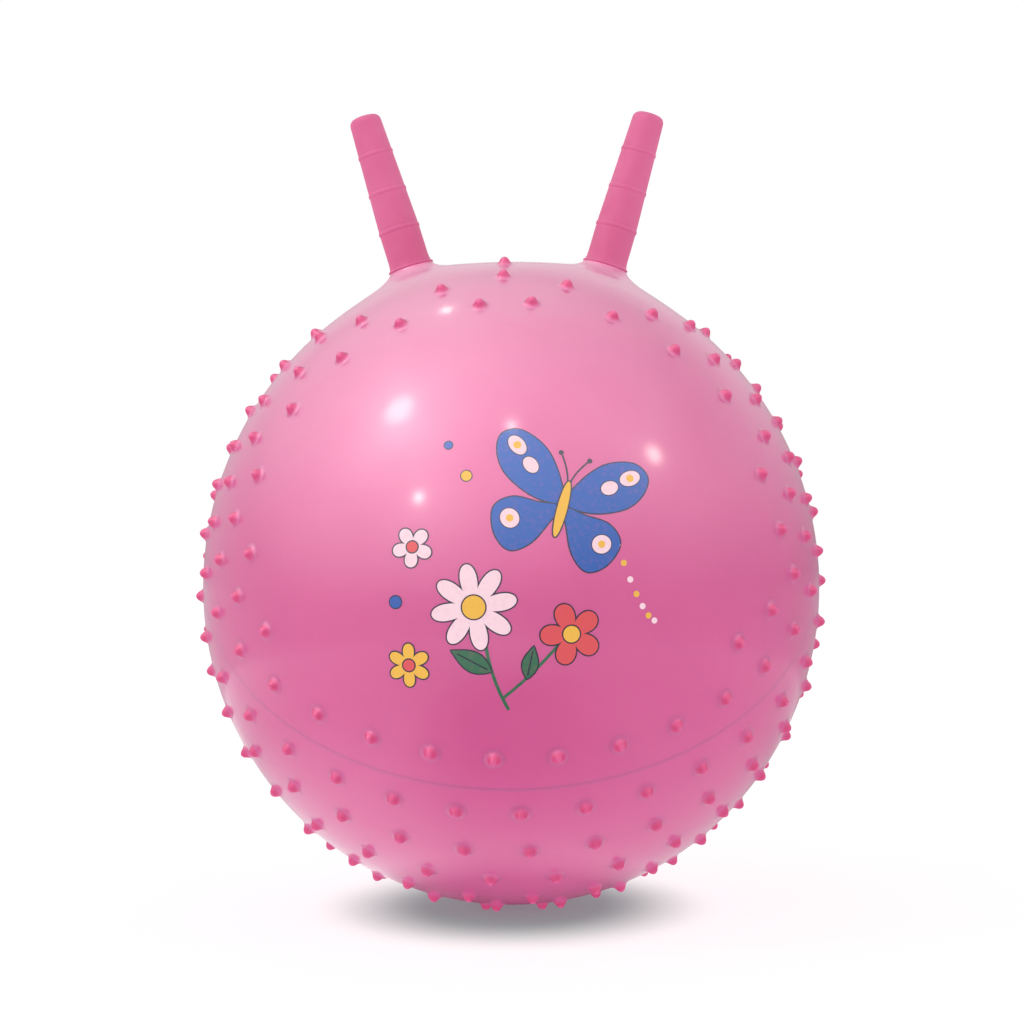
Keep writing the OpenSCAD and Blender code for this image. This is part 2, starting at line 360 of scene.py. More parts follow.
def standing_tree():
    """Geometry nodes that stand one object on each point, along the point's own outward direction."""
    tree = bpy.data.node_groups.new("stand_on_points", "GeometryNodeTree")
    for name, kind in (("Points", "Geometry"), ("Pattern", "Object"), ("Material", "Material")):
        tree.interface.new_socket(name, in_out="INPUT", socket_type="NodeSocket" + kind)
    tree.interface.new_socket("Pieces", in_out="OUTPUT", socket_type="NodeSocketGeometry")
    given = add_node(tree, "NodeGroupInput").outputs
    outward = add_node(tree, "GeometryNodeInputNamedAttribute", {"data_type": "FLOAT_VECTOR"}, {
        "Name": "outward"})
    turned = add_node(tree, "FunctionNodeAlignRotationToVector", {"axis": "Z"}, {
        "Vector": outward.outputs["Attribute"]})
    pattern = add_node(tree, "GeometryNodeObjectInfo", None, {"Object": given["Pattern"]})
    copies = add_node(tree, "GeometryNodeInstanceOnPoints", None, {
        "Points": given["Points"], "Instance": pattern.outputs["Geometry"],
        "Rotation": turned.outputs["Rotation"]})
    solid = add_node(tree, "GeometryNodeRealizeInstances", None, {"Geometry": copies.outputs["Instances"]})
    dressed = add_node(tree, "GeometryNodeSetMaterial", None, {
        "Geometry": solid.outputs["Geometry"], "Material": given["Material"]})
    add_node(tree, "NodeGroupOutput", None, {"Pieces": dressed.outputs["Geometry"]})
    return tree


def stand_nubs(name, directions, tree, pattern, material):
    """A mesh of nubs that stand square to the skin along the given directions."""
    places, normals = skin_surface(directions)
    points = bpy.data.meshes.new(name)
    points.from_pydata([tuple(p) for p in places + np.array(middle)], [], [])
    points.attributes.new("outward", "FLOAT_VECTOR", "POINT").data.foreach_set("vector", normals.ravel())
    holder = bpy.data.objects.new(name, points)
    bpy.context.scene.collection.objects.link(holder)
    stand = holder.modifiers.new("stand", "NODES")
    stand.node_group = tree
    sockets = {item.name: item.identifier for item in tree.interface.items_tree if item.in_out == "INPUT"}
    stand[sockets["Pattern"]] = pattern
    stand[sockets["Material"]] = material
    graph = bpy.context.evaluated_depsgraph_get()
    mesh = bpy.data.meshes.new_from_object(holder.evaluated_get(graph))
    holder.modifiers.remove(stand)
    holder.data = mesh
    mesh.name = name
    mesh.shade_smooth()
    return holder


# Parting line of the mould
def parting_line(material):
    """A low ridge right round the skin, where the halves of the mould met."""
    turns = np.arange(720) * math.pi / 360
    places, normals = skin_surface(mould_directions(parting_latitude, turns))
    above, _ = skin_surface(mould_directions(parting_latitude + 1, turns))
    across = above - places
    across /= np.linalg.norm(across, axis=1)[:, None]
    origin = np.array(middle)
    rings = []
    # The ridge's outline is a parabola that runs on below the skin, so that its edges don't show
    for share in np.linspace(-2, 2, 13):
        height = parting_h * (1 - 1.5 * share ** 2)
        rings.append(origin + places + across * share * parting_w / 2 + normals * height)
    rings.append(origin + places - normals * 10 * parting_h)
    return new_object("parting_line", *looped_rings(rings), material)


# Horns
def horn_profile():
    """Radius and reach from the ball's middle of a horn's rings, from below its base bead to its tip."""
    profile = [(neck_r - 2 * bead_r, bead_reach - 2 * bead_r)]
    for lean in np.linspace(-90, 100, 14):
        turn = math.radians(lean)
        profile.append((neck_r + bead_r * math.cos(turn), bead_reach + bead_r * math.sin(turn)))
    for share in (0, 0.15, 0.35, 0.6, 1):
        profile.append((waist_r + root_flare * (1 - share) ** 2, bead_reach + bead_r + root_flare_l * share))
    ring_places = [bead_reach + ring_pitch * (i + 1) for i in range(grip_rings)]
    round_start = tip_reach - tip_round
    step = 2 * MM
    reaches = np.arange(bead_reach + root_flare_l + step, round_start, step)
    near_rings = [place + shift for place in ring_places for shift in np.linspace(-step, step, 17)]
    for reach in np.unique(np.round(np.concatenate([reaches, near_rings]), 6)):
        taper = np.interp(reach, (ring_places[0], tip_reach), (horn_root_r, horn_tip_r))
        bump = max(max(0, 1 - ((reach - place) / ring_half_w) ** 2) for place in ring_places)
        profile.append((taper + ring_proud * math.sqrt(bump), reach))
    edge_r = np.interp(round_start, (ring_places[0], tip_reach), (horn_root_r, horn_tip_r))
    for lean in np.linspace(0, math.pi / 2, 9):
        profile.append((edge_r - tip_round * (1 - math.cos(lean)), round_start + tip_round * math.sin(lean)))
    profile.append((edge_r / 4, tip_reach + tip_crown))
    return profile


def horn(name, side, material):
    outward = (side * math.cos(horn_lean), 0, -math.sin(horn_lean))
    return revolve(name, horn_profile(), middle, horn_axis(side), outward, 96, material)


# Valve
def valve_collar(material):
    """A collar with a soft edge that runs out on the skin, and a sleeve down into the ball."""
    collar_r = (sleeve_high.x - sleeve_low.x) / 2
    collar_h = sleeve_high.y - ball_r
    sleeve_depth = sleeve_low.y - ball_r
    bore_r = 4.6 * MM
    sleeve_r = 7.5 * MM
    under = [(bore_r, sleeve_depth), (sleeve_r, sleeve_depth), (sleeve_r, -1.5 * MM), (collar_r, -1.2 * MM)]
    # Steps in millimetres from the collar's rim and from the skin
    edge = [(collar_r + out * MM, up * MM) for out, up in ((1.2, -0.8), (0.2, -0.2), (-0.3, 0.5))]
    # Steps in millimetres from the collar's rim and from its top
    face = [(-0.6, -0.5), (-1.2, -0.1), (-2, 0), (-3.4, -0.05), (-3.8, -0.5), (-4.2, -0.05)]
    face = [(collar_r + out * MM, collar_h + up * MM) for out, up in face]
    bore = [(bore_r + 0.6 * MM, collar_h), (bore_r, collar_h - 0.4 * MM)]
    return turned_shell("valve_collar", under + edge + face + bore, material)


def valve_plug_piece(material):
    """A tapered plug with a rounded end and a dished head with a lip to pull it by."""
    head_r = (plug_high.x - plug_low.x) / 2
    head_top = plug_high.y - ball_r
    head_under = head_top - 2 * MM
    stem_r = 4.5 * MM
    end = plug_low.y - ball_r
    tip = [(radius * MM, end + up * MM) for radius, up in ((0.4, 0), (2.4, 0.7), (3.7, 2), (4.2, 4))]
    stem = [(stem_r, head_under - 3 * MM), (stem_r, head_under)]
    rim = [(head_r - 0.5 * MM, head_under), (head_r, head_under + 0.5 * MM)]
    # Steps in millimetres inwards from the head's edge and down from its top
    lip = [(0, 0.7), (0.3, 0.2), (0.9, 0), (1.6, 0.2), (2.2, 0.7)]
    lip = [(head_r - inward * MM, head_top - down * MM) for inward, down in lip]
    dish = [(2 * MM, head_top - 0.8 * MM), (0.3 * MM, head_top - 0.8 * MM)]
    profile = tip + stem + rim + lip + dish
    return revolve("valve_plug_head", profile, (0, ball_r, middle.z), (0, 1, 0), (1, 0, 0), 64, material)


def turned_shell(name, profile, material):
    """A turned piece with a hole right through it: its profile runs round to where it starts."""
    columns = 72
    turns = np.arange(columns) * 2 * math.pi / columns
    spokes = np.stack([np.cos(turns), np.zeros(columns), np.sin(turns)], axis=1)
    origin = np.array((0, ball_r, middle.z))
    rings = [origin + np.array((0, height, 0)) + spokes * radius for radius, height in profile]
    return new_object(name, *looped_rings(rings), material)


# Print on the front, drawn flat in millimetres from its middle, then laid on the skin in layers of ink
print_turn = math.radians(1.5)
print_elevation = math.radians(4.6)
ink_h = 0.06 * MM
ink_step = 5


def ellipse(half_width, half_height, place=(0, 0), turn=0, count=40):
    angles = np.arange(count) * 2 * math.pi / count
    return moved(np.stack([half_width * np.cos(angles), half_height * np.sin(angles)], axis=1), place, turn)


def moved(outline, place=(0, 0), turn=0):
    """An outline turned by degrees and then moved."""
    angle = math.radians(turn)
    spin = np.array([[math.cos(angle), math.sin(angle)], [-math.sin(angle), math.cos(angle)]])
    return np.asarray(outline, float) @ spin + np.array(place)


def petal(length, width, start=0, count=36):
    """A petal from the origin upwards, widest past its middle."""
    angles = np.arange(count) * 2 * math.pi / count
    along = (1 - np.cos(angles)) / 2
    return np.stack([width / 2 * np.sin(angles) * (0.65 + 0.35 * along), start + length * along], axis=1)


def leaf(length, width, count=18):
    """A leaf from the origin upwards, pointed at both ends."""
    along = np.linspace(0, 1, count + 1)
    half = width / 2 * np.sin(math.pi * along ** 0.85) ** 1.1
    right = np.stack([half, length * along], axis=1)
    left = np.stack([-half[-2:0:-1], length * along[-2:0:-1]], axis=1)
    return np.concatenate([right, left])


def smooth_loop(points, between=6):
    """A closed smooth curve through a few points."""
    points = np.asarray(points, float)
    before, after, beyond = (np.roll(points, shift, axis=0) for shift in (1, -1, -2))
    curve = []
    for share in np.arange(between) / between:
        curve.append(0.5 * (2 * points + (after - before) * share
                            + (2 * before - 5 * points + 4 * after - beyond) * share ** 2
                            + (3 * points - before - 3 * after + beyond) * share ** 3))
    return np.stack(curve, axis=1).reshape(-1, 2)


def strip(points, width):
    """A thin line of ink along a few points."""
    points = np.asarray(points, float)
    along = np.gradient(points, axis=0)
    side = np.stack([-along[:, 1], along[:, 0]], axis=1) / np.linalg.norm(along, axis=1)[:, None] * width / 2
    return np.concatenate([points + side, (points - side)[::-1]])


def grown(outline, margin):
    """An outline moved outwards all round."""
    ahead = np.roll(outline, -1, axis=0) - np.roll(outline, 1, axis=0)
    out = np.stack([ahead[:, 1], -ahead[:, 0]], axis=1) / np.linalg.norm(ahead, axis=1)[:, None]
    area = np.sum(outline[:, 0] * np.roll(outline[:, 1], -1) - np.roll(outline[:, 0], -1) * outline[:, 1])
    return outline + out * margin * np.sign(area)


def on_skin(flat, height):
    """Places over the skin of points of the print, kept at their distance from its middle."""
    ahead = np.array([math.sin(print_turn) * math.cos(print_elevation),
                      -math.cos(print_turn) * math.cos(print_elevation), math.sin(print_elevation)])
    right = np.array([math.cos(print_turn), math.sin(print_turn), 0])
    upward = np.cross(ahead, right)
    far = np.linalg.norm(flat, axis=1) * MM
    bearing = flat / np.maximum(np.linalg.norm(flat, axis=1), 1e-9)[:, None]
    spread = bearing[:, :1] * right + bearing[:, 1:] * upward
    directions = np.cos(far / ball_r)[:, None] * ahead + np.sin(far / ball_r)[:, None] * spread
    places, normals = skin_surface(directions)
    return places + normals * height + np.array(middle)


def ink_piece(name, shapes, material):
    """One colour of the print: each shape is an outline and the layer of ink that it lies in."""
    verts, faces = [], []
    for outline, layer in shapes:
        sheet = bmesh.new()
        sheet.faces.new([sheet.verts.new((u, v, 0)) for u, v in outline])
        bmesh.ops.triangulate(sheet, faces=sheet.faces)
        for _ in range(4):
            long_edges = [e for e in sheet.edges if e.calc_length() > ink_step]
            bmesh.ops.subdivide_edges(sheet, edges=long_edges, cuts=1)
            bmesh.ops.triangulate(sheet, faces=sheet.faces)
        sheet.verts.index_update()
        start = len(verts)
        flat = np.array([v.co.xy for v in sheet.verts])
        count = len(flat)
        verts += list(on_skin(flat, ink_h * layer)) + list(on_skin(flat, -ink_h))
        for face in sheet.faces:
            corners = [start + v.index for v in face.verts]
            faces.append(corners)
            faces.append([c + count for c in corners[::-1]])
        for edge in sheet.edges:
            if edge.is_boundary:
                a, b = (start + v.index for v in edge.verts)
                faces.append([a, b, b + count, a + count])
        sheet.free()
    piece = new_object(name, verts, faces, material)
    piece.data.set_sharp_from_angle(angle=math.radians(40))
    return piece


class Print:
    """Shapes of the print, kept by ink."""

    def __init__(self):
        self.shapes = {}

    def add(self, ink, outline, layer):
        self.shapes.setdefault(ink, []).append((outline, layer))

    def outlined(self, ink, outline, layer, line=0.9):
        self.add("line", grown(outline, line), layer)
        self.add(ink, outline, layer + 1)


def draw_flower(sheet, place, petals, length, width, ink, heart_ink, turn, layer):
    """Round petals about a heart, each with a dark line round it."""
    for i in range(petals):
        outline = moved(petal(length, width, length * 0.12), place, turn + i * 360 / petals)
        sheet.outlined(ink, outline, layer)
    sheet.outlined(heart_ink, ellipse(length * 0.3, length * 0.3, place), layer + 2)


def draw_leaf(sheet, place, length, width, turn, layer):
    sheet.outlined("green", moved(leaf(length, width), place, turn), layer)
    vein = moved([(0, length * share) for share in (0.1, 0.3, 0.5, 0.7, 0.85)], place, turn)
    sheet.add("line", strip(vein, 0.9), layer + 2)


def draw_butterfly(sheet, place, turn):
    """Two pairs of wings with pale spots, a slim body and two feelers."""
    upper = [(2, 3), (6, 18), (20, 36), (39, 44), (51, 38), (50, 24), (40, 11), (20, 2)]
    lower = [(2, 0), (16, -1), (33, -2), (43, -12), (38, -28), (26, -36), (14, -28), (6, -12)]
    for side in (-1, 1):
        for wing in (lower, upper):
            sheet.outlined("blue", moved(smooth_loop(wing) * (side, 1), place, turn), 1)
        for spot in ((39, 33, 7.5, 5), (27, 22, 6, 4.5), (31, -16, 6.5, 6)):
            outline = ellipse(spot[2], spot[3], (side * spot[0], spot[1]), side * 38)
            sheet.outlined("pale", moved(outline, place, turn), 3, 0.6)
        sheet.add("yellow", moved(ellipse(2.6, 2.6, (side * 39, 33)), place, turn), 5)
        sheet.add("yellow", moved(ellipse(2.4, 2.4, (side * 31, -16)), place, turn), 5)
        curve = [(side * (0.8 + 9 * s ** 1.6), 16 + 20 * s) for s in np.linspace(0, 1, 9)]
        sheet.add("line", moved(strip(curve, 1.1), place, turn), 4)
        sheet.add("line", moved(ellipse(1.7, 1.7, curve[-1]), place, turn), 4)
    sheet.outlined("yellow", moved(ellipse(3.2, 19, (0, -1)), place, turn), 5)


def front_print(inks):
    """A butterfly over a spray of flowers."""
    sheet = Print()
    draw_butterfly(sheet, (28, 40), -16)
    stem = [(-8 - 40 * s + 26 * s * s, -92 + 74 * s) for s in np.linspace(0, 1, 14)]
    sheet.add("green", strip(stem, 2.2), 1)
    side_stem = [(-12 + 44 * s, -84 + 34 * s + 10 * s * s) for s in np.linspace(0, 1, 12)]
    sheet.add("green", strip(side_stem, 2), 1)
    draw_leaf(sheet, (-19, -66), 30, 13, 62, 2)
    draw_leaf(sheet, (4, -71), 22, 10, -12, 2)
    draw_flower(sheet, (-30, -24), 8, 25, 13, "pale", "yellow", 10, 3)
    draw_flower(sheet, (33, -42), 5, 18, 15, "coral", "yellow", 20, 3)
    draw_flower(sheet, (-74, -62), 6, 13, 9, "yellow", "coral", 0, 3)
    draw_flower(sheet, (-70, 16), 5, 12, 10, "pale", "coral", 30, 3)
    for i, share in enumerate(np.linspace(0, 1, 7)):
        place = (90 - 26 * share, -34 + 50 * share ** 1.5)
        sheet.add("yellow" if i % 2 else "pale", ellipse(2.1, 2.1, place), 1)
    for place, radius, ink in (((-82, -20), 4, "blue"), ((-34, 62), 3.4, "yellow"), ((-46, 84), 2.6, "blue")):
        sheet.outlined(ink, ellipse(radius, radius, place), 1, 0.7)
    return [ink_piece("print_" + ink, shapes, inks[ink]) for ink, shapes in sheet.shapes.items()]


# Materials
coat_weight = 0.9
coat_roughness = 0.15
# Shares of the depth to which red, green and blue light spreads in soft PVC
pvc_spread = (1, 0.35, 0.5)


def new_material(name):
    """A node material with its tree, and the piece's own coordinates."""
    material = bpy.data.materials.new(name)
    material.use_nodes = True
    tree = material.node_tree
    tree.nodes.remove(tree.nodes["Principled BSDF"])
    return material, tree, add_node(tree, "ShaderNodeTexCoord").outputs["Object"]


def finish_material(tree, inputs):
    """The material's one shader, with its inputs, joined to the output."""
    shader = add_node(tree, "ShaderNodeBsdfPrincipled", None, inputs)
    tree.links.new(shader.outputs["BSDF"], tree.nodes["Material Output"].inputs["Surface"])


def skin_material():
    # Soft PVC, cast in a turning mould and blown up: the wall's thickness drifts, and the pink with it.
    # The stretched face is glossy over a milky haze, with a faint ripple and the fine peel of the mould's
    # paint.
    material, tree, place = new_material("soft_pvc_rotocast_gloss")
    drift = add_node(tree, "ShaderNodeTexNoise", None, {"Vector": place, "Scale": 1 / (90 * MM), "Detail": 3})
    drift = add_node(tree, "ShaderNodeMapRange", None, {
        "Value": drift.outputs["Fac"], "From Min": 0.3, "From Max": 0.7})
    pink = add_node(tree, "ShaderNodeMix", {"data_type": "RGBA"}, {
        0: drift.outputs["Result"], 6: colour("#cf448c"), 7: colour("#d44a90")})
    specks = add_node(tree, "ShaderNodeTexNoise", None, {"Vector": place, "Scale": 1 / (5 * MM), "Detail": 2})
    specks = add_node(tree, "ShaderNodeMapRange", None, {
        "Value": specks.outputs["Fac"], "From Min": 0.58, "From Max": 0.75, "To Max": 0.15})
    pink = add_node(tree, "ShaderNodeMix", {"data_type": "RGBA"}, {
        0: specks.outputs["Result"], 6: pink.outputs[2], 7: colour("#c83e84")})
    haze = add_node(tree, "ShaderNodeTexNoise", None, {"Vector": place, "Scale": 1 / (40 * MM), "Detail": 3})
    haze = add_node(tree, "ShaderNodeMapRange", None, {
        "Value": haze.outputs["Fac"], "From Min": 0.3, "From Max": 0.7, "To Min": 0.41, "To Max": 0.49})
    ripple = add_node(tree, "ShaderNodeTexNoise", None, {"Vector": place, "Scale": 1 / (9 * MM), "Detail": 2})
    ripple = add_node(tree, "ShaderNodeBump", None, {
        "Height": ripple.outputs["Fac"], "Distance": 0.02 * MM, "Strength": 0.35})
    peel = add_node(tree, "ShaderNodeTexNoise", None, {"Vector": place, "Scale": 1 / (1.4 * MM), "Detail": 2})
    peel = add_node(tree, "ShaderNodeBump", None, {
        "Height": peel.outputs["Fac"], "Distance": 0.008 * MM, "Strength": 0.35,
        "Normal": ripple.outputs["Normal"]})
    finish_material(tree, {
        "Base Color": pink.outputs[2], "Roughness": haze.outputs["Result"], "Normal": peel.outputs["Normal"],
        "IOR": 1.55, "Specular IOR Level": 0.72, "Coat Weight": coat_weight, "Coat Roughness": coat_roughness,
        "Coat IOR": 1.5, "Coat Normal": peel.outputs["Normal"], "Subsurface Weight": 0.3,
        "Subsurface Radius": pvc_spread, "Subsurface Scale": 8 * MM})
    return material


def horn_material():
    # The same soft PVC, twice as thick and not stretched: it keeps the blasted mould's fine matte grain.
    material, tree, place = new_material("soft_pvc_moulded_matte")
    drift = add_node(tree, "ShaderNodeTexNoise", None, {"Vector": place, "Scale": 1 / (30 * MM), "Detail": 3})
    drift = add_node(tree, "ShaderNodeMapRange", None, {
        "Value": drift.outputs["Fac"], "From Min": 0.3, "From Max": 0.7})
    pink = add_node(tree, "ShaderNodeMix", {"data_type": "RGBA"}, {
        0: drift.outputs["Result"], 6: colour("#d15a8c"), 7: colour("#d76495")})
    rough = add_node(tree, "ShaderNodeTexNoise", None, {"Vector": place, "Scale": 1 / (12 * MM), "Detail": 3})
    rough = add_node(tree, "ShaderNodeMapRange", None, {
        "Value": rough.outputs["Fac"], "From Min": 0.3, "From Max": 0.7, "To Min": 0.5, "To Max": 0.62})
    grain = add_node(tree, "ShaderNodeTexNoise", None, {
        "Vector": place, "Scale": 1 / (0.7 * MM), "Detail": 3})
    grain = add_node(tree, "ShaderNodeBump", None, {
        "Height": grain.outputs["Fac"], "Distance": 0.03 * MM, "Strength": 0.5})
    dents = add_node(tree, "ShaderNodeTexNoise", None, {"Vector": place, "Scale": 1 / (14 * MM), "Detail": 2})
    dents = add_node(tree, "ShaderNodeBump", None, {
        "Height": dents.outputs["Fac"], "Distance": 0.12 * MM, "Strength": 0.5,
        "Normal": grain.outputs["Normal"]})
    finish_material(tree, {
        "Base Color": pink.outputs[2], "Roughness": rough.outputs["Result"],
        "Normal": dents.outputs["Normal"], "IOR": 1.53, "Subsurface Weight": 0.15,
        "Subsurface Radius": pvc_spread, "Subsurface Scale": 4 * MM})
    return material


def nub_material():
    # Soft PVC that filled the mould's pits: glossy as the skin where it runs out in it, matt and thick above.
    # Its flank is deeper pink, partly for its thickness and partly as painted shade, and its tip paler as a
    # painted highlight.
    material, tree, place = new_material("soft_pvc_nub_matte")
    height = add_node(tree, "ShaderNodeAttribute", {"attribute_name": "height_share"}).outputs["Fac"]
    # Deeper pink up the flank: partly the thick PVC, partly painted shade
    flank = add_node(tree, "ShaderNodeMapRange", None, {"Value": height, "From Max": 0.45})
    pink = add_node(tree, "ShaderNodeMix", {"data_type": "RGBA"}, {
        0: flank.outputs["Result"], 6: colour("#d1478e"), 7: colour("#d22b76")})
    # Paler at the tip: a painted highlight
    tip = add_node(tree, "ShaderNodeMapRange", None, {"Value": height, "From Min": 0.75})
    pink = add_node(tree, "ShaderNodeMix", {"data_type": "RGBA"}, {
        0: tip.outputs["Result"], 6: pink.outputs[2], 7: colour("#d84f90")})
    rough = add_node(tree, "ShaderNodeTexNoise", None, {"Vector": place, "Scale": 1 / (6 * MM), "Detail": 2})
    rough = add_node(tree, "ShaderNodeMapRange", None, {
        "Value": rough.outputs["Fac"], "From Min": 0.3, "From Max": 0.7, "To Min": 0.48, "To Max": 0.56})
    gloss = add_node(tree, "ShaderNodeMapRange", None, {
        "Value": height, "From Max": 0.35, "To Min": coat_weight, "To Max": 0.1})
    grain = add_node(tree, "ShaderNodeTexNoise", None, {
        "Vector": place, "Scale": 1 / (1.1 * MM), "Detail": 2})
    grain = add_node(tree, "ShaderNodeBump", None, {
        "Height": grain.outputs["Fac"], "Distance": 0.02 * MM, "Strength": 0.3})
    finish_material(tree, {
        "Base Color": pink.outputs[2], "Roughness": rough.outputs["Result"],
        "Normal": grain.outputs["Normal"], "IOR": 1.55, "Specular IOR Level": 0.8,
        "Coat Weight": gloss.outputs["Result"], "Coat Roughness": coat_roughness, "Coat IOR": 1.5,
        "Subsurface Weight": 0.25, "Subsurface Radius": pvc_spread, "Subsurface Scale": 4 * MM})
    return material


def valve_material():
    # Injection-moulded soft PVC, paler than the skin because it holds more filler, with a satin face.
    material, tree, place = new_material("soft_pvc_moulded_satin")
    drift = add_node(tree, "ShaderNodeTexNoise", None, {"Vector": place, "Scale": 1 / (8 * MM), "Detail": 2})
    pink = add_node(tree, "ShaderNodeMix", {"data_type": "RGBA"}, {
        0: drift.outputs["Fac"], 6: colour("#e07fab"), 7: colour("#e58fb6")})
    grain = add_node(tree, "ShaderNodeTexNoise", None, {
        "Vector": place, "Scale": 1 / (0.8 * MM), "Detail": 2})
    grain = add_node(tree, "ShaderNodeBump", None, {
        "Height": grain.outputs["Fac"], "Distance": 0.02 * MM, "Strength": 0.4})
    finish_material(tree, {
        "Base Color": pink.outputs[2], "Roughness": 0.4, "Normal": grain.outputs["Normal"], "IOR": 1.53,
        "Subsurface Weight": 0.2, "Subsurface Radius": (1, 0.5, 0.6), "Subsurface Scale": 2 * MM})
    return material


def plug_material():
    # White polyethylene, injection moulded: waxy, a little see-through at its edges, with faint flow marks.
    material, tree, place = new_material("polyethylene_moulded_white")
    drift = add_node(tree, "ShaderNodeTexNoise", None, {"Vector": place, "Scale": 1 / (5 * MM), "Detail": 3})
    white = add_node(tree, "ShaderNodeMix", {"data_type": "RGBA"}, {
        0: drift.outputs["Fac"], 6: colour("#e6e3df"), 7: colour("#efedea")})
    rough = add_node(tree, "ShaderNodeMapRange", None, {
        "Value": drift.outputs["Fac"], "To Min": 0.34, "To Max": 0.48})
    flow = add_node(tree, "ShaderNodeBump", None, {
        "Height": drift.outputs["Fac"], "Distance": 0.03 * MM, "Strength": 0.3})
    finish_material(tree, {
        "Base Color": white.outputs[2], "Roughness": rough.outputs["Result"],
        "Normal": flow.outputs["Normal"], "IOR": 1.51, "Subsurface Weight": 0.3,
        "Subsurface Radius": (1, 0.95, 0.9), "Subsurface Scale": 1.5 * MM})
    return material


def ink_material(name, code):
    # Screen ink on soft PVC: even, a little thinner in patches where the skin shines through, with the grain
    # of the screen. Its threads are 0.1 mm apart and would not show, so the grain is drawn at 0.5 mm.
    material, tree, place = new_material("screen_ink_" + name)
    wear = add_node(tree, "ShaderNodeTexNoise", None, {"Vector": place, "Scale": 1 / (3 * MM), "Detail": 3})
    wear = add_node(tree, "ShaderNodeMapRange", None, {
        "Value": wear.outputs["Fac"], "From Min": 0.5, "From Max": 0.75, "To Max": 0.12})
    tint = add_node(tree, "ShaderNodeMix", {"data_type": "RGBA"}, {
        0: wear.outputs["Result"], 6: colour(code), 7: colour("#d14b8b")})
    grain = add_node(tree, "ShaderNodeTexNoise", None, {
        "Vector": place, "Scale": 1 / (0.5 * MM), "Detail": 2})
    grain = add_node(tree, "ShaderNodeBump", None, {
        "Height": grain.outputs["Fac"], "Distance": 0.01 * MM, "Strength": 0.4})
    finish_material(tree, {
        "Base Color": tint.outputs[2], "Roughness": 0.38, "Normal": grain.outputs["Normal"], "IOR": 1.5,
        "Coat Weight": 0.4, "Coat Roughness": 0.15})
    return material


# Distances on the floor are in metres from under the ball's middle, on a plan squeezed to the oval of the
# shadow, which is partly painted
floor_plan = (1.17, 0.95, 1)
shadow_start = 0.07
shadow_end = 0.18
floor_glow = 0.76
shadow_glow = 0.14
table_glow = 1.1
# Distance, and how bright the floor there shows in gloss; its dark middle is a painted shadow
mirrored_floor = [
    (0, 0), (0.04, 0.05), (0.09, 0.15), (0.13, 1), (0.25, 0.9), (0.5, 0.6), (0.999, 1), (1, 0.5),
]
patch_place = (0, -0.36, 0)
patch_start = 0.08
patch_end = 0.28
patch_level = 0.05
dim_start = 0
dim_end = 0.16
dim_level = 0.65


def floor_material():
    # Plain matte white floor. To the camera it glows a little away from the ball, so that it runs out into
    # the white backdrop, and less in an oval under the ball, so that the shadow there is partly real and
    # partly painted;
    # its grey there leans to green against the pink light that the ball throws on it. The ball itself stands
    # on it as on a light table, and in gloss sees its glow with a painted shadow under the ball, a painted
    # dark patch in front and a dimmer right half.
    material, tree, place = new_material("studio_floor_white")
    plan = add_node(tree, "ShaderNodeVectorMath", {"operation": "MULTIPLY"}, {
        0: place, 1: floor_plan}).outputs["Vector"]
    away = add_node(tree, "ShaderNodeVectorMath", {"operation": "LENGTH"}, {0: plan}).outputs["Value"]
    # Inside this oval the floor glows less to the camera: a painted shadow over the real one
    shade = add_node(tree, "ShaderNodeMapRange", {"interpolation_type": "SMOOTHSTEP"}, {
        "Value": away, "From Min": shadow_start, "From Max": shadow_end, "To Min": 1, "To Max": 0})
    shade = shade.outputs["Result"]
    to_camera = add_node(tree, "ShaderNodeMapRange", None, {
        "Value": shade, "To Min": floor_glow, "To Max": shadow_glow}).outputs["Result"]
    ramp = add_node(tree, "ShaderNodeValToRGB", None, {"Fac": away})
    stops = ramp.color_ramp.elements
    for distance, level in mirrored_floor[1:-1]:
        stops.new(distance)
    for stop, (distance, level) in zip(stops, mirrored_floor):
        stop.color = (level, level, level, 1)
    # The floor's glow in gloss is painted darker in a patch in front and over its right half
    from_patch = add_node(tree, "ShaderNodeVectorMath", {"operation": "DISTANCE"}, {
        0: plan, 1: patch_place}).outputs["Value"]
    beside = add_node(tree, "ShaderNodeMapRange", {"interpolation_type": "SMOOTHSTEP"}, {
        "Value": from_patch, "From Min": patch_start, "From Max": patch_end, "To Min": patch_level})
    across = add_node(tree, "ShaderNodeSeparateXYZ", None, {0: plan}).outputs["X"]
    dimmer = add_node(tree, "ShaderNodeMapRange", {"interpolation_type": "SMOOTHSTEP"}, {
        "Value": across, "From Min": dim_start, "From Max": dim_end, "To Min": 1, "To Max": dim_level})
    mirrored = ramp.outputs["Color"]
    for factor in (beside, dimmer):
        mirrored = add_node(tree, "ShaderNodeMath", {"operation": "MULTIPLY"}, {
            0: factor.outputs["Result"], 1: mirrored}).outputs[0]
    rays = add_node(tree, "ShaderNodeLightPath").outputs
    to_ball = add_node(tree, "ShaderNodeMix", {"data_type": "FLOAT"}, {
        0: rays["Is Glossy Ray"], 2: table_glow, 3: mirrored}).outputs[0]
    glow = add_node(tree, "ShaderNodeMix", {"data_type": "FLOAT"}, {
        0: rays["Is Camera Ray"], 2: to_ball, 3: to_camera})
    grey = add_node(tree, "ShaderNodeMix", {"data_type": "RGBA"}, {
        0: shade, 6: colour("#a0a0a0"), 7: colour("#7cb4a0")})
    tint = add_node(tree, "ShaderNodeMix", {"data_type": "RGBA"}, {
        0: rays["Is Camera Ray"], 6: colour("#3c3c3c"), 7: grey.outputs[2]})
    finish_material(tree, {
        "Base Color": tint.outputs[2], "Roughness": 0.9, "Specular IOR Level": 0.1,
        "Emission Color": colour("#ffffff"), "Emission Strength": glow.outputs[0]})
    return material


